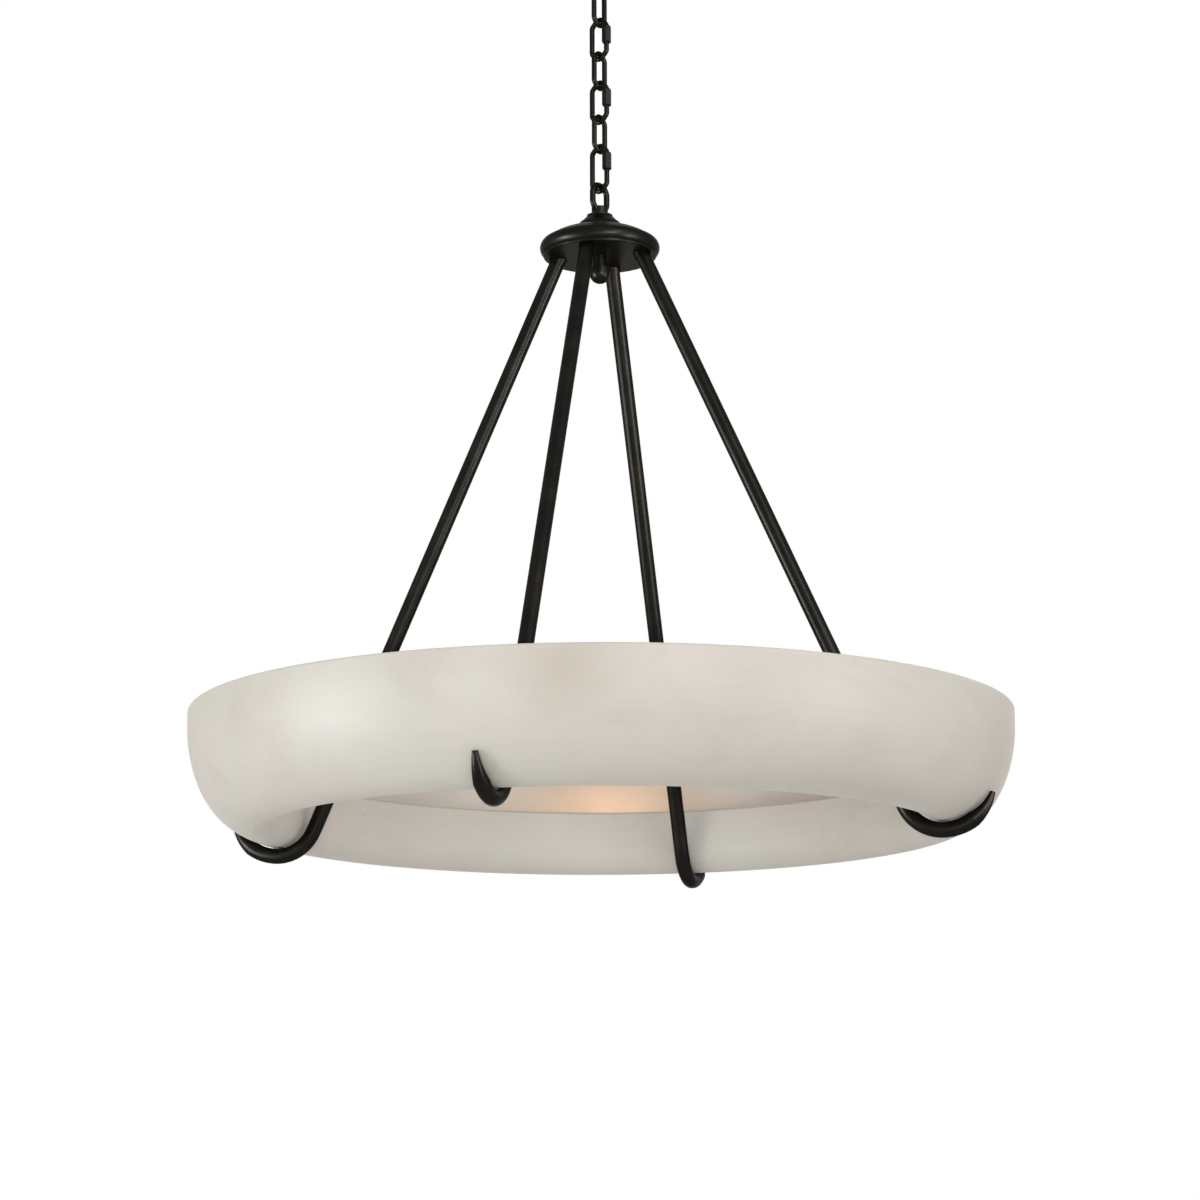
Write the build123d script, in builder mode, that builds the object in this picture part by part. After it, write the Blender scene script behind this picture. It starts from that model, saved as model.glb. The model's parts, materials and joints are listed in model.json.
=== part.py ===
from build123d import *
import os
from math import asin, atan2, cos, degrees, hypot, radians, sin, sqrt, tan

# Pendant light: an alabaster gutter ring, held in four forged hooks, hung on a chain from a canopy.
# Millimetres and degrees. The origin is on the ceiling plane, on the lamp's vertical axis, +Z up.

# Ceiling fitting
canopy_radius = 66.0
canopy_shoulder_radius = 58.0
canopy_shoulder_drop = 15.0
canopy_base_radius = 22.0
canopy_depth = 32.0
canopy_wall = 1.6
crossbar_length = 110.0
crossbar_width = 22.0
crossbar_thickness = 2.5
box_screw_spacing = 88.9
box_slot_width = 5.2
box_slot_length = 12.0
ground_screw_offset = 24.0
ground_screw_radius = 2.0
ground_head_radius = 4.0
ground_head_height = 2.6
nipple_radius = 4.95
nipple_bore_radius = 3.0
nipple_engagement = 16.0
locknut_across_flats = 17.0
locknut_thickness = 4.0
canopy_stem_radius = 10.0
canopy_stem_rise = 8.0
canopy_stem_show = 5.0
collar_radius = 15.0
collar_height = 7.0

# Loops and chain
chain_turn = -22.0
link_gap = 0.3
link_crown = 2.8
link_bend = 4.6
loop_wire = 6.8
loop_width = 32.3
loop_corner_radius = 10.8
canopy_loop_clear = 20.0
quick_count = 4
quick_wire = 6.0
quick_width = 27.2
quick_length = 53.7
bottom_quick_length = 60.3
plain_wire = 6.0
plain_width = 25.1
plain_length = 47.9
nut_across_flats = 10.0
nut_length = 20.5
nut_grip = 1.2
nut_chamfer = 1.0
gate_gap = 6.2

# Hub
hub_loop_clear = 22.9
hub_collar_radius = 9.4
hub_collar_height = 7.6
neck_height = 20.8
neck_foot_radius = 27.0
neck_foot_height = 2.4
neck_flare_height = 11.4
neck_flare_radius = 20.4
neck_step_height = 16.2
neck_step_radius = 15.9
neck_top_height = 18.7
neck_top_radius = 14.9
cover_height = 27.8
cover_edge_radius = 65.6
cover_radius = 68.6
cover_bulge_height = 6.1
cover_shoulder_radius = 61.0
cover_shoulder_height = 17.0
cover_crown_rise = 3.1
cover_wall = 2.0
plate_radius = 64.8
plate_flange = 3.2
plate_edge_round = 1.4
plate_spigot = 4.0
hub_stem_radius = 4.95
hub_stem_bore_radius = 3.0
cap_nut_radius = 12.0
cap_nut_neck_radius = 7.4
cap_nut_neck = 13.5
cap_nut_body = 6.0
cap_nut_engagement = 16.0

# Arms and hooks
arm_radius = 8.7
arm_bore_radius = 5.5
arm_circle_radius = 49.8
arm_drop = 665.4
arm_socket_rise = 10.0
socket_wall = 0.9
socket_boss_wall = 3.3
socket_collar_length = 4.0
socket_end_wall = 2.5
set_screw_radius = 2.4
set_screw_level = 6.5
hook_bend_in = 46.0
hook_bend_out = 57.0
hook_full_wrap = 36.0
hook_tip_wrap = 36.0
hook_tip_radius = 3.0
hook_tip_round = 1.2
pad_radius = 6.0
pad_proud = 0.8
pad_spot_depth = 1.0
pad_stem_radius = 2.0
pad_stem_length = 5.0
bushing_level = 84.0
bushing_radius = 4.3
bushing_flange_radius = 6.0
bushing_flange = 1.2
bushing_sleeve = 2.8
bushing_bore_radius = 3.0

# Alabaster ring
stone_radius = 457.2
stone_flare = 74.2
stone_height = 131.0
stone_upstand = 16.0
stone_wall = 12.0
stone_inner_bend = 30.0
stone_lip_height = 72.0
stone_lip_lean = 2.0
stone_rim_round = 3.0
stone_lip_round = 1.5

# Lamps in the trough
lamp_count = 5
lamp_start = 29.0
lamp_level = 40.0
tray_level = 18.2
tray_thickness = 1.5
holder_radius = 12.0
holder_length = 40.0
holder_mouth = -8.0
holder_bore_depth = 28.0
cap_radius = 6.8
cap_length = 27.0
cap_contact_radius = 3.6
cap_show = 1.5
bulb_radius = 12.5
bulb_neck_length = 12.0
bulb_length = 64.0
bulb_end_round = 9.0
bulb_wall = 0.9
bracket_thickness = 1.5
bracket_width = 18.0
bracket_foot_length = 24.0
bracket_head_rise = 10.0
bracket_screw_radius = 1.9
bracket_screw_head_radius = 3.5
bracket_screw_head = 2.2

# Fits
thread_clearance = 0.1
sleeve_clearance = 0.25
seat_gap = 0.3
tray_edge_gap = 0.3

# Levels from the ceiling plane down
canopy_base_z = -canopy_depth
collar_low_z = canopy_base_z - collar_height
canopy_stem_low_z = collar_low_z - canopy_stem_show
canopy_loop_low_z = canopy_stem_low_z - canopy_loop_clear - loop_wire / 2


def hung_from(upper_low_z, upper_wire, lower_wire):
    """Level of a link's top wire centre, hung on the wire centred at upper_low_z."""
    return upper_low_z + (upper_wire + lower_wire) / 2 + link_gap


# The chain's links from the top down: name, wire and outer length
links = []
for number in range(1, quick_count + 1):
    length = quick_length if number < quick_count else bottom_quick_length
    links.append((f"quick_link_{number}", quick_wire, length))
    if number < quick_count:
        links.append((f"plain_link_{number}", plain_wire, plain_length))

# Levels of each link's top and bottom wire centre
link_levels = {}
low_z, low_wire = canopy_loop_low_z, loop_wire
for name, wire, length in links:
    top_z = hung_from(low_z, low_wire, wire)
    low_z = top_z - (length - wire)
    link_levels[name] = (top_z, low_z)
    low_wire = wire

hub_loop_top_z = hung_from(low_z, quick_wire, loop_wire)
hub_collar_top_z = hub_loop_top_z - loop_wire / 2 - hub_loop_clear
neck_top_z = hub_collar_top_z - hub_collar_height
cover_top_z = neck_top_z - neck_height
cover_low_z = cover_top_z - cover_height
plate_low_z = cover_low_z - plate_flange
stone_low_z = plate_low_z - arm_drop

# Stone section: its lowest line, the inner lip and the trough's floor at the tray
stone_low_radius = stone_radius - stone_flare
stone_bulge_height = stone_height - stone_upstand
stone_lip_radius = stone_low_radius - stone_inner_bend - stone_lip_lean
trough_flare = stone_flare - stone_wall
trough_depth = stone_bulge_height - stone_wall
trough_bend = stone_inner_bend - stone_wall
floor_out = trough_flare * sqrt(1 - ((stone_bulge_height - tray_level) / trough_depth) ** 2)
floor_in = sqrt(trough_bend ** 2 - (stone_inner_bend - tray_level) ** 2)
tray_outer_radius = stone_low_radius + floor_out - tray_edge_gap
tray_inner_radius = stone_low_radius - floor_in + tray_edge_gap
lamp_circle_radius = (tray_inner_radius + tray_outer_radius) / 2

# Hook and arm centreline in its own upright plane: x is the radius, y the height over the stone's underside.
# The straight rod runs from the circle of sockets to a tangent on the hook's inner bend.
hook_low = -(seat_gap + pad_proud + arm_radius)
bend_in_centre = (stone_low_radius, hook_low + hook_bend_in)
bend_out_centre = (stone_low_radius, hook_low + hook_bend_out)
arm_reach = bend_in_centre[0] - arm_circle_radius
arm_fall = arm_drop - bend_in_centre[1]
arm_lean = degrees(atan2(arm_reach, arm_fall) - asin(hook_bend_in / hypot(arm_reach, arm_fall)))
arm_foot = (
    bend_in_centre[0] - hook_bend_in * cos(radians(arm_lean)),
    bend_in_centre[1] - hook_bend_in * sin(radians(arm_lean)),
)


def arm_axis_point(height):
    """Radius and height of the arm's centreline at a height over the stone's underside."""
    return arm_foot[0] - (height - arm_foot[1]) * tan(radians(arm_lean)), height


arm_top = arm_axis_point(arm_drop + arm_socket_rise)
arm_angles = {"arm_front": -90, "arm_right": 0, "arm_back": 90, "arm_left": 180}
lamp_angles = [lamp_start + index * 360 / lamp_count for index in range(lamp_count)]
lamp_z = stone_low_z + lamp_level
tray_top_z = stone_low_z + tray_level + tray_thickness


def upright(angle, origin_z=0.0):
    """Upright plane through the lamp's axis: x runs outward at this angle, y is up."""
    turn = radians(angle)
    return Plane((0, 0, origin_z), x_dir=(cos(turn), sin(turn), 0), z_dir=(sin(turn), -cos(turn), 0))


def across(angle):
    """Upright plane at a lamp: x runs along its bulb, y is up, and its normal points outward."""
    turn = radians(angle)
    centre = (lamp_circle_radius * cos(turn), lamp_circle_radius * sin(turn), lamp_z)
    return Plane(centre, x_dir=(-sin(turn), cos(turn), 0), z_dir=(cos(turn), sin(turn), 0))


def point_on(plane, radius, height):
    """A point of an upright plane in the lamp's frame."""
    return plane.from_local_coords(Vector(radius, height, 0))


def way_on(plane, radius, height):
    """A direction of an upright plane in the lamp's frame."""
    return point_on(plane, radius, height) - point_on(plane, 0, 0)


def write(piece, node):
    """Name a finished piece and write its file."""
    piece.part.label = node
    export_step(piece.part, f"parts/{node}.step")


def ring_path(width, top_z, low_z, wire, corner_radius):
    """Closed centreline of a loop between two levels of wire centre."""
    half = (width - wire) / 2
    corners = [(half, low_z), (half, top_z), (-half, top_z), (-half, low_z)]
    FilletPolyline(*corners, radius=corner_radius, close=True)


def start_plane(path):
    """Plane square to a path at its start."""
    return Plane(path.line @ 0, z_dir=path.line % 0)


os.makedirs("parts", exist_ok=True)

# Ceiling canopy: a spun dish with its rim on the ceiling
with BuildPart() as ceiling_canopy:
    with BuildSketch(Plane.XZ):
        with BuildLine():
            outer_low = (canopy_base_radius, canopy_base_z)
            shoulder = (canopy_shoulder_radius, -canopy_shoulder_drop)
            inner_shoulder = (canopy_shoulder_radius - canopy_wall, -canopy_shoulder_drop + canopy_wall / 2)
            inner_low = (canopy_base_radius, canopy_base_z + canopy_wall)
            hole = canopy_stem_radius + sleeve_clearance
            Line((hole, canopy_base_z), outer_low)
            Line(outer_low, shoulder)
            SagittaArc(shoulder, (canopy_radius, 0), -canopy_shoulder_drop / 8)
            Line((canopy_radius, 0), (canopy_radius - canopy_wall, 0))
            SagittaArc((canopy_radius - canopy_wall, 0), inner_shoulder, canopy_shoulder_drop / 8)
            Line(inner_shoulder, inner_low)
            Line(inner_low, (hole, canopy_base_z + canopy_wall))
            Line((hole, canopy_base_z + canopy_wall), (hole, canopy_base_z))
        make_face()
    revolve(axis=Axis.Z)
write(ceiling_canopy, "ceiling_canopy")

# Crossbar: the slotted strap that two screws hold to the ceiling box
with BuildPart() as mounting_crossbar:
    with BuildSketch(Plane.XY.offset(-crossbar_thickness)):
        SlotOverall(crossbar_length, crossbar_width)
        with Locations((-box_screw_spacing / 2, 0), (box_screw_spacing / 2, 0)):
            SlotOverall(box_slot_length, box_slot_width, mode=Mode.SUBTRACT)
        Circle(nipple_radius + thread_clearance, mode=Mode.SUBTRACT)
        with Locations((ground_screw_offset, 0)):
            Circle(ground_screw_radius + thread_clearance, mode=Mode.SUBTRACT)
    extrude(amount=crossbar_thickness)
write(mounting_crossbar, "mounting_crossbar")

# Ground screw, up into the crossbar
with BuildPart() as ground_screw:
    with BuildSketch(Plane.XY.offset(-crossbar_thickness - ground_head_height)):
        with Locations((ground_screw_offset, 0)):
            Circle(ground_head_radius)
    extrude(amount=ground_head_height)
    with BuildSketch(Plane.XY.offset(-crossbar_thickness)):
        with Locations((ground_screw_offset, 0)):
            Circle(ground_screw_radius)
    extrude(amount=crossbar_thickness)
write(ground_screw, "ground_screw")

# Threaded nipple between the crossbar and the canopy loop, with its lock nut
canopy_stem_top_z = canopy_base_z + canopy_wall + canopy_stem_rise
nipple_low_z = canopy_stem_top_z - nipple_engagement
with BuildPart() as canopy_nipple:
    with BuildSketch(Plane.XY.offset(nipple_low_z)):
        Circle(nipple_radius)
        Circle(nipple_bore_radius, mode=Mode.SUBTRACT)
    extrude(amount=-nipple_low_z)
write(canopy_nipple, "canopy_nipple")

with BuildPart() as crossbar_locknut:
    with BuildSketch(Plane.XY.offset(-crossbar_thickness - locknut_thickness)):
        RegularPolygon(locknut_across_flats / 2, 6, major_radius=False)
        Circle(nipple_radius + thread_clearance, mode=Mode.SUBTRACT)
    extrude(amount=locknut_thickness)
write(crossbar_locknut, "crossbar_locknut")

# Canopy loop: a threaded stem through the canopy with the loop that carries the chain
with BuildPart() as canopy_loop:
    with BuildSketch(Plane.XY.offset(canopy_stem_low_z)):
        Circle(canopy_stem_radius)
    extrude(amount=canopy_stem_top_z - canopy_stem_low_z)
    with BuildLine(upright(chain_turn + 90)) as canopy_loop_path:
        canopy_loop_top_z = canopy_stem_low_z + loop_wire / 2
        ring_path(loop_width, canopy_loop_top_z, canopy_loop_low_z, loop_wire, loop_corner_radius)
    with BuildSketch(start_plane(canopy_loop_path)):
        Circle(loop_wire / 2)
    sweep()
    with BuildSketch(Plane.XY.offset(canopy_stem_top_z)):
        Circle(nipple_radius + thread_clearance)
    extrude(amount=-nipple_engagement, mode=Mode.SUBTRACT)
    with BuildSketch(Plane.XY.offset(nipple_low_z)):
        Circle(nipple_bore_radius)
    extrude(amount=canopy_stem_low_z - nipple_low_z, mode=Mode.SUBTRACT)
write(canopy_loop, "canopy_loop")

# Screw collar that holds the canopy up on the stem
with BuildPart() as canopy_collar:
    with BuildSketch(Plane.XY.offset(collar_low_z)):
        Circle(collar_radius)
        Circle(canopy_stem_radius + thread_clearance, mode=Mode.SUBTRACT)
    extrude(amount=collar_height)
    fillet(canopy_collar.edges().filter_by(GeomType.CIRCLE).group_by(SortBy.RADIUS)[-1], collar_height / 5)
write(canopy_collar, "canopy_collar")

# Quick links: a wire loop left open at a gate, and the sleeve nut that closes it.
# Every link's ends slope in at 45 degrees to a short crown.
quick_leg = (quick_width - quick_wire) / 2
quick_slope = quick_leg - link_crown
leg_start = quick_slope + link_bend * tan(radians(45 / 2))
for number in range(1, quick_count + 1):
    top_z, low_z = link_levels[f"quick_link_{number}"]
    nut_top_z = top_z - leg_start
    with BuildPart() as quick_link:
        with BuildLine(upright(chain_turn)) as quick_path:
            FilletPolyline(
                (quick_leg, nut_top_z - nut_grip),
                (quick_leg, top_z - quick_slope),
                (link_crown, top_z),
                (-link_crown, top_z),
                (-quick_leg, top_z - quick_slope),
                (-quick_leg, low_z + quick_slope),
                (-link_crown, low_z),
                (link_crown, low_z),
                (quick_leg, low_z + quick_slope),
                (quick_leg, nut_top_z - nut_grip - gate_gap),
                radius=link_bend,
            )
        with BuildSketch(start_plane(quick_path)):
            Circle(quick_wire / 2)
        sweep()
    write(quick_link, f"quick_link_{number}")
    nut_base = Plane(point_on(upright(chain_turn), quick_leg, nut_top_z - nut_length))
    with BuildPart() as quick_link_nut:
        with BuildSketch(nut_base):
            RegularPolygon(nut_across_flats / 2, 6, major_radius=False, rotation=chain_turn)
        extrude(amount=nut_length)
        chamfer(quick_link_nut.edges().filter_by(Plane.XY), nut_chamfer)
        with BuildSketch(nut_base):
            Circle(quick_wire / 2 + sleeve_clearance)
        extrude(amount=nut_length, mode=Mode.SUBTRACT)
    write(quick_link_nut, f"quick_link_nut_{number}")

# Plain welded links between the quick links
plain_leg = (plain_width - plain_wire) / 2
plain_slope = plain_leg - link_crown
for number in range(1, quick_count):
    top_z, low_z = link_levels[f"plain_link_{number}"]
    with BuildPart() as plain_link:
        with BuildLine(upright(chain_turn + 90)) as plain_path:
            FilletPolyline(
                (plain_leg, low_z + plain_slope),
                (plain_leg, top_z - plain_slope),
                (link_crown, top_z),
                (-link_crown, top_z),
                (-plain_leg, top_z - plain_slope),
                (-plain_leg, low_z + plain_slope),
                (-link_crown, low_z),
                (link_crown, low_z),
                radius=link_bend,
                close=True,
            )
        with BuildSketch(start_plane(plain_path)):
            Circle(plain_wire / 2)
        sweep()
    write(plain_link, f"plain_link_{number}")

# Hub loop: the loop on its collar, tapped for the hub's stem
with BuildPart() as hub_loop:
    with BuildSketch(Plane.XY.offset(neck_top_z)):
        Circle(hub_collar_radius)
    extrude(amount=hub_collar_height)
    with BuildLine(upright(chain_turn + 90)) as hub_loop_path:
        ring_path(loop_width, hub_loop_top_z, hub_collar_top_z - loop_wire / 2, loop_wire, loop_corner_radius)
    with BuildSketch(start_plane(hub_loop_path)):
        Circle(loop_wire / 2)
    sweep()
    with BuildSketch(Plane.XY.offset(neck_top_z)):
        Circle(hub_stem_radius + thread_clearance)
    extrude(amount=hub_collar_height / 2, mode=Mode.SUBTRACT)
    with BuildSketch(Plane.XY.offset(neck_top_z)):
        Circle(hub_stem_bore_radius)
    extrude(amount=hub_collar_height, mode=Mode.SUBTRACT)
write(hub_loop, "hub_loop")

# Stepped turned neck between the loop and the hub
with BuildPart() as hub_neck:
    with BuildSketch(Plane.XZ):
        with BuildLine():
            foot = (neck_foot_radius, cover_top_z + neck_foot_height)
            flare = (neck_flare_radius, cover_top_z + neck_flare_height)
            step = (neck_step_radius, cover_top_z + neck_step_height)
            shoulder = (neck_top_radius, cover_top_z + neck_top_height)
            throat = (hub_collar_radius, cover_top_z + neck_top_height)
            hole = hub_stem_radius + thread_clearance
            Line((hole, cover_top_z), (neck_foot_radius, cover_top_z))
            Line((neck_foot_radius, cover_top_z), foot)
            SagittaArc(foot, flare, -neck_foot_height / 2)
            Line(flare, step)
            SagittaArc(step, shoulder, neck_foot_height / 4)
            Line(shoulder, throat)
            Line(throat, (hub_collar_radius, neck_top_z))
            Line((hub_collar_radius, neck_top_z), (hole, neck_top_z))
            Line((hole, neck_top_z), (hole, cover_top_z))
        make_face()
    revolve(axis=Axis.Z)
write(hub_neck, "hub_neck")


def cover_outline(inset):
    """Half outline of the hub cover, drawn in by a wall thickness."""
    low = (cover_edge_radius - inset, cover_low_z)
    bulge = (cover_radius - inset, cover_low_z + cover_bulge_height)
    shoulder = (cover_shoulder_radius - inset, cover_low_z + cover_shoulder_height - inset / 2)
    crown = (neck_foot_radius, cover_top_z - inset)
    crest = ((shoulder[0] + crown[0]) / 2, (shoulder[1] + crown[1]) / 2 + cover_crown_rise)
    ThreePointArc(low, bulge, shoulder)
    ThreePointArc(shoulder, crest, crown)
    Line(crown, (0, cover_top_z - inset))
    Line((0, cover_top_z - inset), (0, cover_low_z))
    Line((0, cover_low_z), low)


# Hub cover: a spun dome with a rounded rim
with BuildPart() as hub_cover:
    with BuildSketch(Plane.XZ):
        with BuildLine():
            cover_outline(0)
        make_face()
    revolve(axis=Axis.Z)
    with BuildSketch(Plane.XZ):
        with BuildLine():
            cover_outline(cover_wall)
        make_face()
    revolve(axis=Axis.Z, mode=Mode.SUBTRACT)
    with BuildSketch(Plane.XY.offset(cover_low_z)):
        Circle(hub_stem_radius + thread_clearance)
    extrude(amount=cover_height, mode=Mode.SUBTRACT)
write(hub_cover, "hub_cover")

# Hub plate: the cast underside with a leaning socket for each arm
spigot_radius = cover_edge_radius - cover_wall - sleeve_clearance
arm_way = {node: way_on(upright(angle), -sin(radians(arm_lean)), cos(radians(arm_lean)))
           for node, angle in arm_angles.items()}
arm_end = {node: point_on(upright(angle, stone_low_z), *arm_top) for node, angle in arm_angles.items()}
arm_entry = {node: point_on(upright(angle, stone_low_z), *arm_axis_point(arm_drop))
             for node, angle in arm_angles.items()}
socket_depth = arm_socket_rise / cos(radians(arm_lean))
collar_rise = (arm_radius + socket_wall) * tan(radians(arm_lean))
screw_way = {node: way_on(upright(angle), cos(radians(arm_lean)), sin(radians(arm_lean)))
             for node, angle in arm_angles.items()}
screw_point = {node: point_on(upright(angle, stone_low_z), *arm_axis_point(arm_drop + set_screw_level))
               for node, angle in arm_angles.items()}
with BuildPart() as hub_plate:
    for node in arm_angles:
        with BuildSketch(Plane(arm_entry[node], z_dir=arm_way[node])):
            Circle(arm_radius + socket_boss_wall)
        extrude(amount=socket_depth + socket_end_wall)
    with BuildSketch(Plane.XY.offset(plate_low_z)):
        Circle(cover_radius)
    extrude(amount=-arm_radius - socket_boss_wall, mode=Mode.SUBTRACT)
    with BuildSketch(Plane.XY.offset(plate_low_z)):
        Circle(plate_radius)
    extrude(amount=plate_flange)
    rim = hub_plate.edges().filter_by(GeomType.CIRCLE).group_by(SortBy.RADIUS)[-1].sort_by(Axis.Z)[0]
    fillet(rim, plate_edge_round)
    with BuildSketch(Plane.XY.offset(cover_low_z)):
        Circle(spigot_radius)
    extrude(amount=plate_spigot)
    for node in arm_angles:
        with BuildSketch(Plane(arm_entry[node] + arm_way[node] * collar_rise, z_dir=-arm_way[node])):
            Circle(arm_radius + socket_wall)
        extrude(amount=collar_rise + socket_collar_length)
    for node in arm_angles:
        with BuildSketch(Plane(arm_end[node], z_dir=-arm_way[node])):
            Circle(arm_radius + thread_clearance)
        extrude(amount=socket_depth + socket_collar_length, mode=Mode.SUBTRACT)
        with BuildSketch(Plane(arm_end[node], z_dir=arm_way[node])):
            Circle(arm_bore_radius)
        extrude(amount=socket_end_wall, mode=Mode.SUBTRACT)
        with BuildSketch(Plane(screw_point[node], z_dir=screw_way[node])):
            Circle(set_screw_radius + thread_clearance)
        extrude(amount=arm_radius + socket_boss_wall + set_screw_radius, mode=Mode.SUBTRACT)
    with BuildSketch(Plane.XY.offset(plate_low_z)):
        Circle(hub_stem_radius + thread_clearance)
    extrude(amount=plate_flange + plate_spigot, mode=Mode.SUBTRACT)
write(hub_plate, "hub_plate")

# Set screws that lock the arms in their sockets
with BuildPart() as arm_set_screws:
    for node in arm_angles:
        arm_skin = screw_point[node] + screw_way[node] * (arm_radius + thread_clearance)
        with BuildSketch(Plane(arm_skin, z_dir=screw_way[node])):
            Circle(set_screw_radius)
        extrude(amount=socket_boss_wall)
write(arm_set_screws, "arm_set_screws")

# Hollow threaded stem that clamps the hub together, and its round cap nut
stem_top_z = neck_top_z + hub_collar_height / 2
stem_low_z = plate_low_z - cap_nut_engagement
with BuildPart() as hub_stem:
    with BuildSketch(Plane.XY.offset(stem_low_z)):
        Circle(hub_stem_radius)
        Circle(hub_stem_bore_radius, mode=Mode.SUBTRACT)
    extrude(amount=stem_top_z - stem_low_z)
write(hub_stem, "hub_stem")

with BuildPart() as hub_cap_nut:
    with BuildSketch(Plane.XZ):
        with BuildLine():
            nut_shoulder_z = plate_low_z - cap_nut_neck
            nut_ball_z = nut_shoulder_z - cap_nut_body
            Line((0, nut_ball_z - cap_nut_radius), (0, plate_low_z))
            Line((0, plate_low_z), (cap_nut_neck_radius, plate_low_z))
            Line((cap_nut_neck_radius, plate_low_z), (cap_nut_neck_radius, nut_shoulder_z))
            Line((cap_nut_neck_radius, nut_shoulder_z), (cap_nut_radius, nut_shoulder_z))
            Line((cap_nut_radius, nut_shoulder_z), (cap_nut_radius, nut_ball_z))
            CenterArc((0, nut_ball_z), cap_nut_radius, 0, -90)
        make_face()
    revolve(axis=Axis.Z)
    with BuildSketch(Plane.XY.offset(plate_low_z)):
        Circle(hub_stem_radius + thread_clearance)
    extrude(amount=-cap_nut_engagement, mode=Mode.SUBTRACT)
write(hub_cap_nut, "hub_cap_nut")

# Arms: straight tube down to a forged hook that bends under the stone and tapers up its outer wall
arm_length = (arm_top[1] - arm_foot[1]) / cos(radians(arm_lean))
pad_seat_z = stone_low_z + hook_low + arm_radius - pad_spot_depth
for node, angle in arm_angles.items():
    plane = upright(angle, stone_low_z)
    seat = point_on(plane, stone_low_radius, 0)
    with BuildPart() as arm:
        with BuildLine(plane) as shaft_path:
            Line(arm_top, arm_foot)
            CenterArc(bend_in_centre, hook_bend_in, 180 + arm_lean, 90 - arm_lean)
            CenterArc(bend_out_centre, hook_bend_out, 270, hook_full_wrap)
        with BuildSketch(start_plane(shaft_path)):
            Circle(arm_radius)
        sweep()
        with BuildLine(plane) as hook_path:
            CenterArc(bend_out_centre, hook_bend_out, 270 + hook_full_wrap, hook_tip_wrap)
        with BuildSketch(start_plane(hook_path)):
            Circle(arm_radius)
        with BuildSketch(Plane(hook_path.line @ 1, z_dir=hook_path.line % 1)):
            Circle(hook_tip_radius)
        sweep(multisection=True)
        tip_point = hook_path.line @ 1
        tip_face = arm.faces().filter_by(GeomType.PLANE).sort_by_distance(tip_point)[0]
        fillet(tip_face.edges(), hook_tip_round)
        with BuildSketch(Plane(arm_end[node], z_dir=-arm_way[node])):
            Circle(arm_bore_radius)
        extrude(amount=arm_length - arm_radius, mode=Mode.SUBTRACT)
        with BuildSketch(Plane((seat.X, seat.Y, pad_seat_z))):
            Circle(pad_radius + sleeve_clearance)
        extrude(amount=arm_radius, mode=Mode.SUBTRACT)
        with BuildSketch(Plane((seat.X, seat.Y, pad_seat_z))):
            Circle(pad_stem_radius + thread_clearance)
        extrude(amount=-pad_stem_length, mode=Mode.SUBTRACT)
        if node == "arm_back":
            outlet = way_on(plane, cos(radians(arm_lean)), sin(radians(arm_lean)))
            outlet_point = point_on(plane, *arm_axis_point(bushing_level))
            with BuildSketch(Plane(outlet_point, z_dir=outlet)):
                Circle(bushing_radius + thread_clearance)
            extrude(amount=2 * arm_radius, mode=Mode.SUBTRACT)
    write(arm, node)
    with BuildPart() as pad:
        with BuildSketch(Plane((seat.X, seat.Y, pad_seat_z))):
            Circle(pad_radius)
        extrude(amount=pad_spot_depth + pad_proud)
        with BuildSketch(Plane((seat.X, seat.Y, pad_seat_z))):
            Circle(pad_stem_radius)
        extrude(amount=-pad_stem_length)
    write(pad, node.replace("arm", "hook_pad"))

# Bushing where the lamps' wiring leaves the back arm
with BuildPart() as wire_bushing:
    flange_seat = arm_radius + thread_clearance
    back = upright(arm_angles["arm_back"], stone_low_z)
    bush_way = way_on(back, cos(radians(arm_lean)), sin(radians(arm_lean)))
    bush_point = point_on(back, *arm_axis_point(bushing_level))
    with BuildSketch(Plane(bush_point + bush_way * flange_seat, z_dir=bush_way)):
        Circle(bushing_flange_radius)
    extrude(amount=bushing_flange)
    with BuildSketch(Plane(bush_point + bush_way * flange_seat, z_dir=-bush_way)):
        Circle(bushing_radius)
    extrude(amount=bushing_sleeve)
    with BuildSketch(Plane(bush_point, z_dir=bush_way)):
        Circle(bushing_bore_radius)
    extrude(amount=2 * arm_radius, mode=Mode.SUBTRACT)
write(wire_bushing, "wire_bushing")

# Alabaster ring: a carved gutter with a tall outer wall, a round bottom and a low inner lip
with BuildPart() as alabaster_ring:
    with BuildSketch(Plane.XZ) as gutter:
        with BuildLine():
            rim_z = stone_low_z + stone_height
            bulge_z = stone_low_z + stone_bulge_height
            lip_z = stone_low_z + stone_lip_height
            bend_z = stone_low_z + stone_inner_bend
            inner_foot = stone_low_radius - stone_inner_bend
            Line((stone_radius, bulge_z), (stone_radius, rim_z))
            Line((stone_radius, rim_z), (stone_radius - stone_wall, rim_z))
            Line((stone_radius - stone_wall, rim_z), (stone_radius - stone_wall, bulge_z))
            EllipticalCenterArc((stone_low_radius, bulge_z), trough_flare, trough_depth, 270, arc_size=90)
            CenterArc((stone_low_radius, bend_z), trough_bend, 180, 90)
            Line((inner_foot + stone_wall, bend_z), (stone_lip_radius + stone_wall, lip_z))
            Line((stone_lip_radius + stone_wall, lip_z), (stone_lip_radius, lip_z))
            Line((stone_lip_radius, lip_z), (inner_foot, bend_z))
            CenterArc((stone_low_radius, bend_z), stone_inner_bend, 180, 90)
            EllipticalCenterArc((stone_low_radius, bulge_z), stone_flare, stone_bulge_height, 270, arc_size=90)
        make_face()
        fillet(gutter.vertices().filter_by_position(Axis.Y, rim_z, rim_z), stone_rim_round)
        fillet(gutter.vertices().filter_by_position(Axis.Y, lip_z, lip_z), stone_lip_round)
    revolve(axis=Axis.Z)
write(alabaster_ring, "alabaster_ring")

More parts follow.
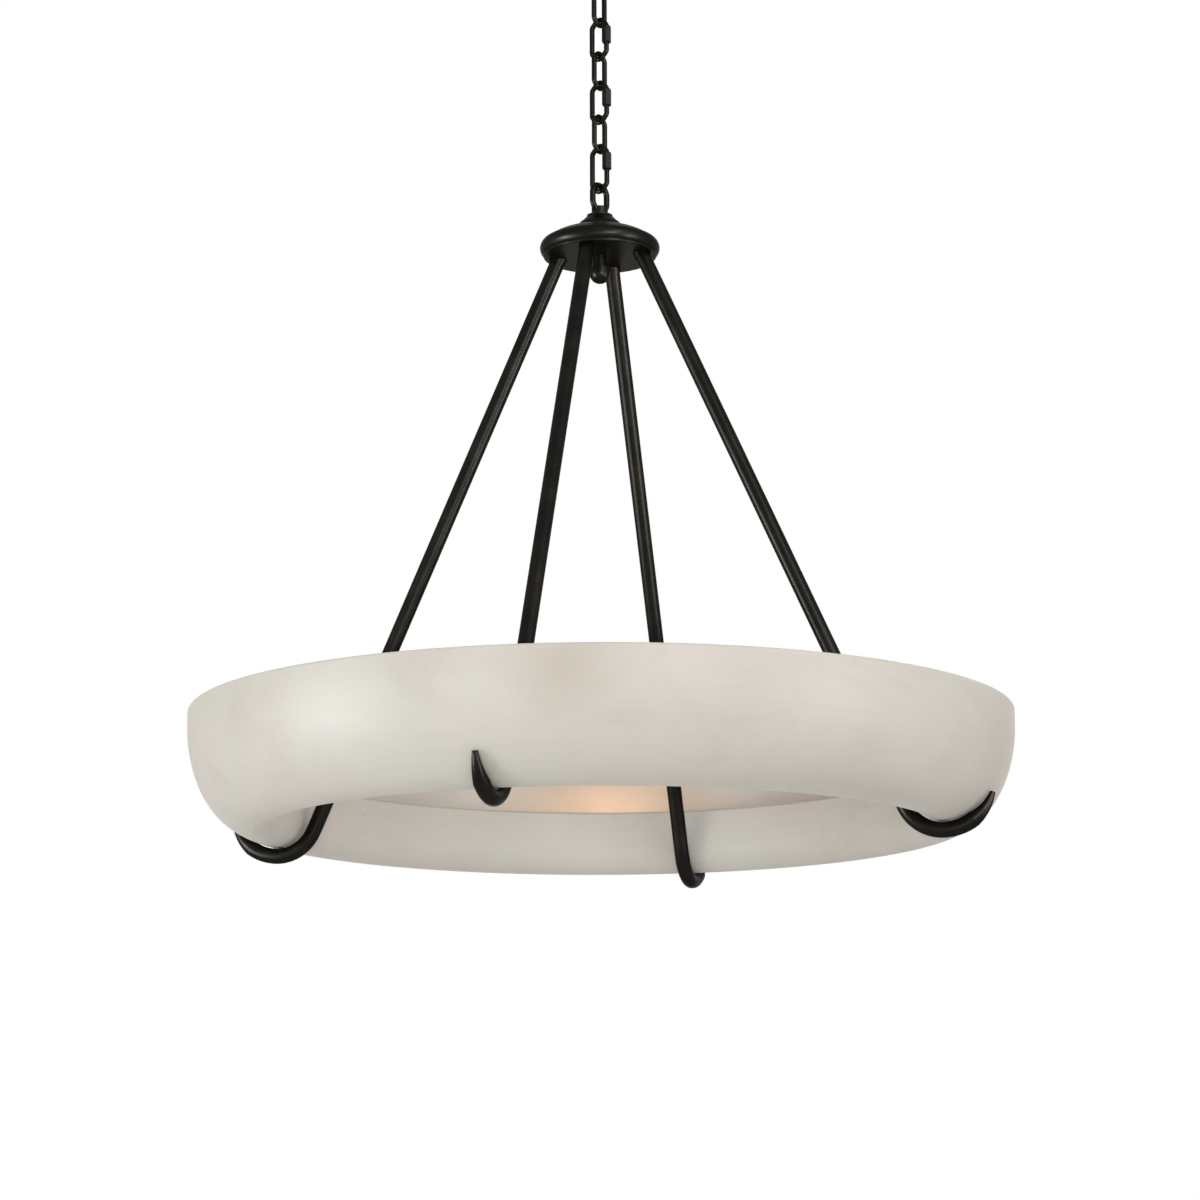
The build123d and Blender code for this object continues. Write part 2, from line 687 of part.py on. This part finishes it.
# Lamp tray: a flat ring of sheet on the trough's floor
with BuildPart() as lamp_tray:
    with BuildSketch(Plane.XY.offset(stone_low_z + tray_level)):
        Circle(tray_outer_radius)
        Circle(tray_inner_radius, mode=Mode.SUBTRACT)
        for angle in lamp_angles:
            foot_plane = across(angle)
            screw_seat = point_on(foot_plane, holder_mouth - holder_length + bracket_foot_length / 2, 0)
            with Locations((screw_seat.X, screw_seat.Y)):
                Circle(bracket_screw_radius + thread_clearance, mode=Mode.SUBTRACT)
    extrude(amount=tray_thickness)
write(lamp_tray, "lamp_tray")

# Brackets that stand the lampholders on the tray, and their screws
holder_back = holder_mouth - holder_length
foot_low = tray_top_z - lamp_z
with BuildPart() as lampholder_brackets:
    for angle in lamp_angles:
        with BuildSketch(across(angle)):
            with BuildLine():
                Polyline(
                    (holder_back, foot_low + bracket_thickness),
                    (holder_back + bracket_foot_length, foot_low + bracket_thickness),
                    (holder_back + bracket_foot_length, foot_low),
                    (holder_back - bracket_thickness, foot_low),
                    (holder_back - bracket_thickness, bracket_head_rise),
                    (holder_back, bracket_head_rise),
                    close=True,
                )
            make_face()
        extrude(amount=bracket_width / 2, both=True)
    for angle in lamp_angles:
        screw_seat = point_on(across(angle), holder_back + bracket_foot_length / 2, foot_low)
        with BuildSketch(Plane(screw_seat)):
            Circle(bracket_screw_radius + thread_clearance)
        extrude(amount=bracket_thickness, mode=Mode.SUBTRACT)
write(lampholder_brackets, "lampholder_brackets")

with BuildPart() as bracket_screws:
    for angle in lamp_angles:
        screw_seat = point_on(across(angle), holder_back + bracket_foot_length / 2, foot_low + bracket_thickness)
        with BuildSketch(Plane(screw_seat)):
            Circle(bracket_screw_head_radius)
        extrude(amount=bracket_screw_head)
        with BuildSketch(Plane(screw_seat)):
            Circle(bracket_screw_radius)
        extrude(amount=-bracket_thickness - tray_thickness)
write(bracket_screws, "bracket_screws")

# Lampholders, bulb caps and bulbs, lying along the trough
for number, angle in enumerate(lamp_angles, start=1):
    plane = across(angle)
    bulb_axis = Axis(plane.origin, plane.x_dir)
    with BuildPart() as lampholder:
        with BuildSketch(Plane(point_on(plane, holder_back, 0), z_dir=plane.x_dir)):
            Circle(holder_radius)
        extrude(amount=holder_length)
        fillet(lampholder.edges().filter_by(GeomType.CIRCLE), holder_radius / 8)
        with BuildSketch(Plane(point_on(plane, holder_mouth, 0), z_dir=plane.x_dir)):
            Circle(cap_radius + sleeve_clearance)
        extrude(amount=-holder_bore_depth, mode=Mode.SUBTRACT)
    write(lampholder, f"lampholder_{number}")
    cap_end = holder_mouth + cap_show
    cap_back = cap_end - cap_length
    with BuildPart() as bulb_cap:
        with BuildSketch(plane):
            with BuildLine():
                Polyline(
                    (cap_back, 0),
                    (cap_back, cap_contact_radius),
                    (cap_back + cap_radius - cap_contact_radius, cap_radius),
                    (cap_end, cap_radius),
                    (cap_end, 0),
                    close=True,
                )
            make_face()
        revolve(axis=bulb_axis)
    write(bulb_cap, f"bulb_cap_{number}")
    with BuildPart() as bulb:
        with BuildSketch(plane) as envelope:
            with BuildLine():
                Polyline(
                    (cap_end, 0),
                    (cap_end, cap_radius),
                    (cap_end + bulb_neck_length, bulb_radius),
                    (cap_end + bulb_length, bulb_radius),
                    (cap_end + bulb_length, 0),
                    close=True,
                )
            make_face()
            crown = envelope.vertices().sort_by_distance((cap_end + bulb_length, bulb_radius))[0]
            shoulder = envelope.vertices().sort_by_distance((cap_end + bulb_neck_length, bulb_radius))[0]
            fillet([crown, shoulder], bulb_end_round)
        revolve(axis=bulb_axis)
        mouth = bulb.faces().filter_by(GeomType.PLANE).sort_by(bulb_axis)[0]
        offset(amount=-bulb_wall, openings=mouth)
    write(bulb, f"bulb_{number}")
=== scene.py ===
import json
from math import cos, pi, radians, sin

import bpy
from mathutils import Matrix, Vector


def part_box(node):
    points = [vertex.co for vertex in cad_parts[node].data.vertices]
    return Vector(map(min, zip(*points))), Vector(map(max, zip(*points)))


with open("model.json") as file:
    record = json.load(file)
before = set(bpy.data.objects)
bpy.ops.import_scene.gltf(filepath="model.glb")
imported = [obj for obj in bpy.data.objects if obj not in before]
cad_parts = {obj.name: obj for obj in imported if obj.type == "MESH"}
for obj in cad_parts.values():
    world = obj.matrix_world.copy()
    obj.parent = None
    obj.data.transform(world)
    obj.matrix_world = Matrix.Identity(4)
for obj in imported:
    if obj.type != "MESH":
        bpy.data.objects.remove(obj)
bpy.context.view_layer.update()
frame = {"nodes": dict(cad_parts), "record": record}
nodes = frame["nodes"]
scene = bpy.context.scene
scene.view_settings.view_transform = "Standard"

# Metres throughout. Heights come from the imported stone.
stone_low, stone_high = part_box("alabaster_ring")
ring_centre = Vector((0, 0, (stone_low.z + stone_high.z) / 2))

# Camera: below the ring and looking up, as in the photograph
PHOTO_WIDTH = 1200
FOCAL_PIXELS = 3273.8
SHIFT_RIGHT_PIXELS = 2.6
SHIFT_UP_PIXELS = 1.2
SENSOR_WIDTH_MM = 36
CAMERA_TURN = radians(16.5)
CAMERA_DISTANCE = 3.600
CAMERA_DROP = 0.4626
CAMERA_PITCH = 0.1997
CAMERA_ROLL = radians(0.16)
image_right = Vector((cos(CAMERA_TURN), sin(CAMERA_TURN), 0))
towards_camera = Vector((sin(CAMERA_TURN), -cos(CAMERA_TURN), 0))

# Lamps and reflection cards: name, place by studio_point, width and height, watts and, for a lamp, its colour
WHITE = (1, 1, 1)
FAINT_GREEN = (0.975, 1, 0.975)
LAMPS = (
    ("front_low", (-0.1, 3.3, -0.5), (1.6, 0.9), 26, WHITE),
    ("front_right", (1.5, 2.3, 1.35), (0.8, 1.2), 13, WHITE),
    ("left_low", (-2.2, 1.2, -0.4), (0.8, 1.2), 17, FAINT_GREEN),
    ("right_high", (2.2, 1.2, 1.0), (0.8, 1.2), 10, WHITE),
)
CARDS = (
    ("card_left", (-2.3, 0.75, -0.3), (0.6, 1.0), 120),
    ("card_right", (1.9, 1.1, -0.1), (0.6, 1.0), 52),
    ("card_front", (0.95, 2.45, 0.35), (0.6, 0.6), 66),
    ("card_high", (1.4, 2.3, 1.5), (0.6, 0.8), 26),
)
ROD_MIDDLE_RISE = 0.4

# Room light: place from straight down, 0, to straight up, 1, and strength
ROOM_LIGHT = ((0.01, 0.60), (0.50, 0.55), (0.99, 0.50))
ROOM_COLOUR = (1.0, 0.99, 0.97, 1)

# Pale floor far below
FLOOR_LEVEL = -2.7
FLOOR_HALF = 10.0
FLOOR_FADE_START = 1.5
FLOOR_FADE_END = 9.0
FLOOR_COLOUR = (0.82, 0.82, 0.81, 1)
FLOOR_GLOW = 0.28

# Bronze and bulb colours
BRONZE_DARK = (0.0098, 0.0096, 0.0084)
BRONZE_RUB = (0.0158, 0.0142, 0.0120)
BRONZE_EDGE = (0.42, 0.41, 0.38, 1)
BULB_GLASS = (0.95, 0.92, 0.86, 1)
GLOW_DEEP = (1.0, 0.51, 0.25)
GLOW_PALE = (1.0, 0.56, 0.29)
GLOW_STRENGTH = 10.0

# Stone colours
STONE_CREAM = (0.628, 0.606, 0.542)
STONE_ROSE = (0.648, 0.598, 0.543)
STONE_VEIL = (0.578, 0.530, 0.468)
STONE_STREAK = (0.57, 0.525, 0.465)
# Pale tint of the pale clouds, also used for painted highlights and painted light
STONE_PALE_AND_LIGHT = (0.73, 0.715, 0.69)
# Dark tint of the dark clouds, also used for painted shade at the ring's ends
STONE_DARK_AND_SHADE = (0.555, 0.500, 0.440)
# Brown of the painted shade along the inner lip's top edge
LIP_SHADE_BROWN = (0.33, 0.27, 0.215)
SPECK_BROWN = (0.16, 0.12, 0.09)

# Clouds in the stone, with spots of painted light and painted shade among them: angle about the lamp, distance
# from its axis, height over the underside, spread, strength
# Pale spots: the first four are painted highlights over pale mottling on the near wall, the next two paint the
# lamps' light through the inner lip, the last two paint extra light on the far inner wall
PALE_CLOUDS_AND_PAINTED_LIGHT = (
    (250.5, 0.455, 0.080, 0.110, 0.40),
    (270.6, 0.457, 0.089, 0.090, 0.40),
    (295.7, 0.457, 0.105, 0.080, 0.20),
    (314.4, 0.457, 0.100, 0.085, 0.25),
    (110.0, 0.351, 0.050, 0.110, 0.45),
    (82.0, 0.351, 0.050, 0.090, 0.35),
    (127.0, 0.445, 0.105, 0.100, 0.80),
    (84.0, 0.445, 0.105, 0.100, 0.60),
)
# Dark spots: a grey cloud in the stone at 281.7 degrees; the rest are painted shade at the ring's left and
# right ends and low on its right
DARK_CLOUDS_AND_PAINTED_SHADE = (
    (281.7, 0.457, 0.106, 0.070, 0.55),
    (324.0, 0.440, 0.036, 0.050, 0.30),
    (357.0, 0.455, 0.075, 0.120, 0.70),
    (205.0, 0.455, 0.085, 0.090, 0.40),
)

# Painted shade: a thin dark line along the top edge of the stone's inner lip
LIP_HEIGHT = 0.072
LIP_LINE = 0.0030
LIP_TOP_START = 0.0005
LIP_TOP_END = 0.0010
LIP_REACH = 0.375
LIP_REACH_FADE = 0.005


def make_camera():
    """The photograph's camera."""
    data = bpy.data.cameras.new("camera")
    data.sensor_width = SENSOR_WIDTH_MM
    data.lens = FOCAL_PIXELS / PHOTO_WIDTH * SENSOR_WIDTH_MM
    data.shift_x = -SHIFT_RIGHT_PIXELS / PHOTO_WIDTH
    data.shift_y = -SHIFT_UP_PIXELS / PHOTO_WIDTH
    camera = bpy.data.objects.new("camera", data)
    scene.collection.objects.link(camera)
    camera.location = towards_camera * CAMERA_DISTANCE + Vector((0, 0, stone_low.z - CAMERA_DROP))
    camera.rotation_euler = (pi / 2 + CAMERA_PITCH, CAMERA_ROLL, CAMERA_TURN)
    return camera


def studio_point(right, near, up):
    """A point in metres from the ring's centre: to the image's right, towards the camera, and up."""
    return ring_centre + image_right * right + towards_camera * near + Vector((0, 0, up))


def softbox(name, spot, target, size, power, colour=WHITE, card=False):
    """A soft rectangular studio lamp aimed at a target; a card shows in reflections alone."""
    data = bpy.data.lights.new(name, "AREA")
    data.shape = "RECTANGLE"
    data.size, data.size_y = size
    data.energy = power
    data.color = colour
    lamp = bpy.data.objects.new(name, data)
    scene.collection.objects.link(lamp)
    lamp.location = spot
    lamp.rotation_euler = (target - spot).to_track_quat("-Z", "Y").to_euler()
    lamp.visible_camera = False
    lamp.visible_diffuse = not card


def tree_of(owner):
    """Node tree of a material or world, with its nodes cleared."""
    owner.use_nodes = True
    owner.node_tree.nodes.clear()
    return owner.node_tree


def node(tree, kind, **settings):
    """A new shader node with its properties set."""
    made = tree.nodes.new(kind)
    for key, value in settings.items():
        setattr(made, key, value)
    return made


def combine(tree, operation, first, second):
    """Two values joined by a math operation."""
    made = node(tree, "ShaderNodeMath", operation=operation)
    tree.links.new(first, made.inputs[0])
    tree.links.new(second, made.inputs[1])
    return made.outputs[0]


def place(tree, scale, stretch=(1, 1, 1)):
    """Object coordinates, in metres, scaled by an amount along each axis."""
    coords = node(tree, "ShaderNodeTexCoord")
    mapping = node(tree, "ShaderNodeMapping")
    mapping.inputs["Scale"].default_value = [scale * part for part in stretch]
    tree.links.new(coords.outputs["Object"], mapping.inputs["Vector"])
    return mapping.outputs["Vector"]


def length(tree, vector):
    """Length of a vector."""
    made = node(tree, "ShaderNodeVectorMath", operation="LENGTH")
    tree.links.new(vector, made.inputs[0])
    return made.outputs["Value"]


def noise(tree, vector, detail=3, roughness=0.5, distortion=0.0):
    """Cloudy noise at scale 1 of the given coordinates."""
    made = node(tree, "ShaderNodeTexNoise")
    made.inputs["Scale"].default_value = 1
    made.inputs["Detail"].default_value = detail
    made.inputs["Roughness"].default_value = roughness
    made.inputs["Distortion"].default_value = distortion
    tree.links.new(vector, made.inputs["Vector"])
    return made.outputs["Fac"]


def remap(tree, value, low, high, to_low=0.0, to_high=1.0, curve="LINEAR"):
    """Value stretched from one range to another and clamped."""
    made = node(tree, "ShaderNodeMapRange", interpolation_type=curve)
    made.inputs["From Min"].default_value = low
    made.inputs["From Max"].default_value = high
    made.inputs["To Min"].default_value = to_low
    made.inputs["To Max"].default_value = to_high
    tree.links.new(value, made.inputs["Value"])
    return made.outputs["Result"]


def mix(tree, factor, first, second):
    """Colour mixed by a factor; each colour is a tuple or a socket."""
    made = node(tree, "ShaderNodeMix", data_type="RGBA")
    tree.links.new(factor, made.inputs[0])
    for socket, colour in ((made.inputs[6], first), (made.inputs[7], second)):
        if isinstance(colour, tuple):
            socket.default_value = (*colour, 1)
        else:
            tree.links.new(colour, socket)
    return made.outputs[2]


def bump(tree, shader, height, strength, distance):
    """Surface relief in metres from a height value."""
    made = node(tree, "ShaderNodeBump")
    made.inputs["Strength"].default_value = strength
    made.inputs["Distance"].default_value = distance
    tree.links.new(height, made.inputs["Height"])
    tree.links.new(made.outputs["Normal"], shader.inputs["Normal"])


def mix_shaders(tree, factor, first, second):
    """Two shaders mixed by a factor."""
    made = node(tree, "ShaderNodeMixShader")
    for socket, source in zip(made.inputs, (factor, first, second)):
        tree.links.new(source, socket)
    return made.outputs[0]


def material(name):
    """A new material with a Principled shader wired to its output."""
    made = bpy.data.materials.new(name)
    tree = tree_of(made)
    shader = node(tree, "ShaderNodeBsdfPrincipled")
    output = node(tree, "ShaderNodeOutputMaterial")
    tree.links.new(shader.outputs[0], output.inputs["Surface"])
    return made, tree, shader, output


def make_world():
    """White surroundings for the camera, gloss and glass; for the light, a plain room."""
    made = bpy.data.worlds.new("studio")
    tree = tree_of(made)
    rays = node(tree, "ShaderNodeLightPath").outputs
    seen = combine(tree, "MAXIMUM", rays["Is Camera Ray"], rays["Is Transmission Ray"])
    seen = combine(tree, "MAXIMUM", seen, rays["Is Glossy Ray"])
    heading = node(tree, "ShaderNodeSeparateXYZ")
    tree.links.new(node(tree, "ShaderNodeTexCoord").outputs["Generated"], heading.inputs[0])
    level = node(tree, "ShaderNodeValToRGB")
    for place_on_ramp, strength in ROOM_LIGHT:
        stop = level.color_ramp.elements.new(place_on_ramp)
        stop.color = (strength, strength, strength, 1)
    level.color_ramp.elements.remove(level.color_ramp.elements[0])
    level.color_ramp.elements.remove(level.color_ramp.elements[-1])
    tree.links.new(remap(tree, heading.outputs["Z"], -1.0, 1.0), level.inputs["Fac"])
    room = node(tree, "ShaderNodeBackground")
    room.inputs["Color"].default_value = ROOM_COLOUR
    tree.links.new(level.outputs["Color"], room.inputs["Strength"])
    white = node(tree, "ShaderNodeBackground")
    white.inputs["Color"].default_value = (*WHITE, 1)
    white.inputs["Strength"].default_value = 1.0
    surroundings = mix_shaders(tree, seen, room.outputs[0], white.outputs[0])
    tree.links.new(surroundings, node(tree, "ShaderNodeOutputWorld").inputs["Surface"])
    return made


def make_bronze():
    """Oil-rubbed bronze: near-black, satin, with a faint brown rub."""
    made, tree, shader, _ = material("oil_rubbed_bronze")
    patches = noise(tree, place(tree, 30), detail=4, roughness=0.55)
    colour = mix(tree, remap(tree, patches, 0.42, 0.70), BRONZE_DARK, BRONZE_RUB)
    tree.links.new(colour, shader.inputs["Base Color"])
    shader.inputs["Metallic"].default_value = 0.7
    shader.inputs["Specular IOR Level"].default_value = 0.085
    shader.inputs["Specular Tint"].default_value = BRONZE_EDGE
    tree.links.new(remap(tree, patches, 0.3, 0.7, 0.32, 0.38), shader.inputs["Roughness"])
    bump(tree, shader, noise(tree, place(tree, 140), detail=2), 0.05, 0.0001)
    return made


def cloud_and_light_spot(tree, coords, angle, reach, height, spread):
    """Soft spot for stone clouds and for spots of painted light and shade, from 1 in the middle to 0 at its
    spread.
    """
    turn = radians(angle)
    away = node(tree, "ShaderNodeVectorMath", operation="DISTANCE")
    away.inputs[1].default_value = (reach * cos(turn), reach * sin(turn), stone_low.z + height)
    tree.links.new(coords, away.inputs[0])
    return remap(tree, away.outputs["Value"], spread, 0.0, curve="SMOOTHSTEP")


def lip_shade_line(tree, coords):
    """Mask of the thin line of painted shade along the top edge of the stone's inner lip."""
    parts = node(tree, "ShaderNodeSeparateXYZ")
    tree.links.new(coords, parts.inputs[0])
    lip_top = stone_low.z + LIP_HEIGHT
    near_edge = remap(tree, parts.outputs["Z"], lip_top - LIP_LINE, lip_top)
    below_edge = remap(tree, parts.outputs["Z"], lip_top + LIP_TOP_END, lip_top + LIP_TOP_START)
    reach = length(tree, place(tree, 1.0, (1, 1, 0)))
    inside = remap(tree, reach, LIP_REACH + LIP_REACH_FADE, LIP_REACH)
    return combine(tree, "MULTIPLY", combine(tree, "MULTIPLY", near_edge, below_edge), inside)


def make_alabaster():
    """Honed alabaster: smooth cream and grey, with soft clouds, faint brown veils and fine level streaks; some
    clouds are painted highlights, painted light and painted shade, and a line of painted shade runs along the
    inner lip.
    """
    made, tree, shader, _ = material("alabaster")
    tones = noise(tree, place(tree, 4.5, (1, 1, 1.6)), detail=3, distortion=0.6)
    colour = mix(tree, remap(tree, tones, 0.36, 0.64), STONE_CREAM, STONE_ROSE)
    veils = noise(tree, place(tree, 9.0, (1, 1, 1.7)), detail=6, roughness=0.60, distortion=0.8)
    colour = mix(tree, remap(tree, veils, 0.47, 0.72, 0.0, 0.55), colour, STONE_VEIL)
    streaks = noise(tree, place(tree, 5.0, (1, 1, 60)), detail=4, roughness=0.6)
    colour = mix(tree, remap(tree, streaks, 0.48, 0.75, 0.0, 0.24), colour, STONE_STREAK)
    coords = place(tree, 1.0)
    # Pale and dark clouds, with painted highlights, painted light and painted shade among them
    for cloud_and_light_spots, tint in ((PALE_CLOUDS_AND_PAINTED_LIGHT, STONE_PALE_AND_LIGHT), (DARK_CLOUDS_AND_PAINTED_SHADE, STONE_DARK_AND_SHADE)):
        for angle, reach, height, spread, strength in cloud_and_light_spots:
            spot = cloud_and_light_spot(tree, coords, angle, reach, height, spread)
            colour = mix(tree, remap(tree, spot, 0.0, 1.0, 0.0, strength), colour, tint)
    # Painted shade: a thin brown line along the top edge of the inner lip
    colour = mix(tree, remap(tree, lip_shade_line(tree, coords), 0.0, 1.0, 0.0, 0.75), colour, LIP_SHADE_BROWN)
    specks = noise(tree, place(tree, 75), detail=1)
    colour = mix(tree, remap(tree, specks, 0.845, 0.87, 0.0, 0.7), colour, SPECK_BROWN)
    tree.links.new(colour, shader.inputs["Base Color"])
    tree.links.new(remap(tree, veils, 0.3, 0.7, 0.50, 0.44), shader.inputs["Roughness"])
    shader.inputs["Specular IOR Level"].default_value = 0.08
    shader.inputs["Subsurface Weight"].default_value = 0.35
    shader.inputs["Subsurface Radius"].default_value = (1.0, 0.72, 0.5)
    shader.inputs["Subsurface Scale"].default_value = 0.010
    bump(tree, shader, noise(tree, place(tree, 120, (1, 1, 2)), detail=3), 0.1, 0.0003)
    return made


def make_plain(name, low, high, scale, roughness, metallic=0.0):
    """A mottled material between two colours, for the small fittings."""
    made, tree, shader, _ = material(name)
    patches = noise(tree, place(tree, scale), detail=4)
    tree.links.new(mix(tree, remap(tree, patches, 0.35, 0.65), low, high), shader.inputs["Base Color"])
    rough = remap(tree, patches, 0.3, 0.7, roughness - 0.06, roughness + 0.06)
    tree.links.new(rough, shader.inputs["Roughness"])
    shader.inputs["Metallic"].default_value = metallic
    bump(tree, shader, noise(tree, place(tree, scale * 6), detail=2), 0.3, 0.0001)
    return made


def make_bulb():
    """Frosted bulb glass with its own warm light."""
    made, tree, shader, _ = material("warm_bulb")
    shader.inputs["Base Color"].default_value = BULB_GLASS
    shader.inputs["Roughness"].default_value = 0.4
    glow = noise(tree, place(tree, 60), detail=2)
    colour = mix(tree, remap(tree, glow, 0.3, 0.7), GLOW_DEEP, GLOW_PALE)
    tree.links.new(colour, shader.inputs["Emission Color"])
    shader.inputs["Emission Strength"].default_value = GLOW_STRENGTH
    return made


def make_finishes():
    """A material for each slot in the record."""
    return {
        "bronze": make_bronze(),
        "alabaster": make_alabaster(),
        "zinc": make_plain("zinc_plate", (0.50, 0.50, 0.49), (0.62, 0.62, 0.60), 160, 0.34, 1.0),
        "ground_green": make_plain("green_screw", (0.03, 0.22, 0.07), (0.05, 0.30, 0.10), 200, 0.42, 0.3),
        "tray_white": make_plain("white_enamel", (0.74, 0.73, 0.70), (0.80, 0.79, 0.76), 40, 0.38),
        "bushing": make_plain("black_nylon", (0.018, 0.018, 0.018), (0.03, 0.03, 0.03), 220, 0.55),
        "pad": make_plain("soft_pad", (0.020, 0.018, 0.016), (0.034, 0.031, 0.028), 300, 0.75),
        "holder_ceramic": make_plain("porcelain", (0.74, 0.72, 0.67), (0.82, 0.80, 0.75), 70, 0.22),
        "cap_brass": make_plain("cap_brass", (0.62, 0.43, 0.17), (0.74, 0.54, 0.25), 180, 0.30, 1.0),
        "bulb_glass": make_bulb(),
    }


def make_floor():
    """Pale floor, which fades into the white surroundings and lets a view from beneath pass."""
    mesh = bpy.data.meshes.new("floor")
    sides = ((-1, -1), (1, -1), (1, 1), (-1, 1))
    corners = [(right * FLOOR_HALF, back * FLOOR_HALF, 0) for right, back in sides]
    mesh.from_pydata(corners, [], [(0, 1, 2, 3)])
    made, tree, shader, output = material("pale_floor")
    shader.inputs["Base Color"].default_value = FLOOR_COLOUR
    shader.inputs["Roughness"].default_value = 0.8
    shader.inputs["Specular IOR Level"].default_value = 0.1
    shader.inputs["Emission Color"].default_value = (*WHITE, 1)
    shader.inputs["Emission Strength"].default_value = FLOOR_GLOW
    spread = length(tree, place(tree, 1.0))
    edge = remap(tree, spread, FLOOR_FADE_START, FLOOR_FADE_END, curve="SMOOTHSTEP")
    underside = node(tree, "ShaderNodeNewGeometry").outputs["Backfacing"]
    unseen = combine(tree, "MAXIMUM", underside, edge)
    clear = node(tree, "ShaderNodeBsdfTransparent").outputs[0]
    tree.links.new(mix_shaders(tree, unseen, shader.outputs[0], clear), output.inputs["Surface"])
    mesh.materials.append(made)
    floor = bpy.data.objects.new("floor", mesh)
    scene.collection.objects.link(floor)
    floor.location = (0, 0, FLOOR_LEVEL)
    floor.visible_diffuse = False
    floor.visible_shadow = False
    return floor


scene.camera = make_camera()
scene.world = make_world()
for lamp_name, spot, size, power, colour in LAMPS:
    softbox(lamp_name, studio_point(*spot), ring_centre, size, power, colour)
rod_middle = studio_point(0, 0, ROD_MIDDLE_RISE)
for card_name, spot, size, power in CARDS:
    softbox(card_name, studio_point(*spot), rod_middle, size, power, card=True)

finishes = make_finishes()
for entry in frame["record"]["subparts"]:
    piece = nodes[entry["node"]]
    for slot in piece.material_slots:
        slot.material = finishes[entry["material_slot"]]
    for polygon in piece.data.polygons:
        polygon.use_smooth = True
make_floor()

bpy.context.view_layer.update()
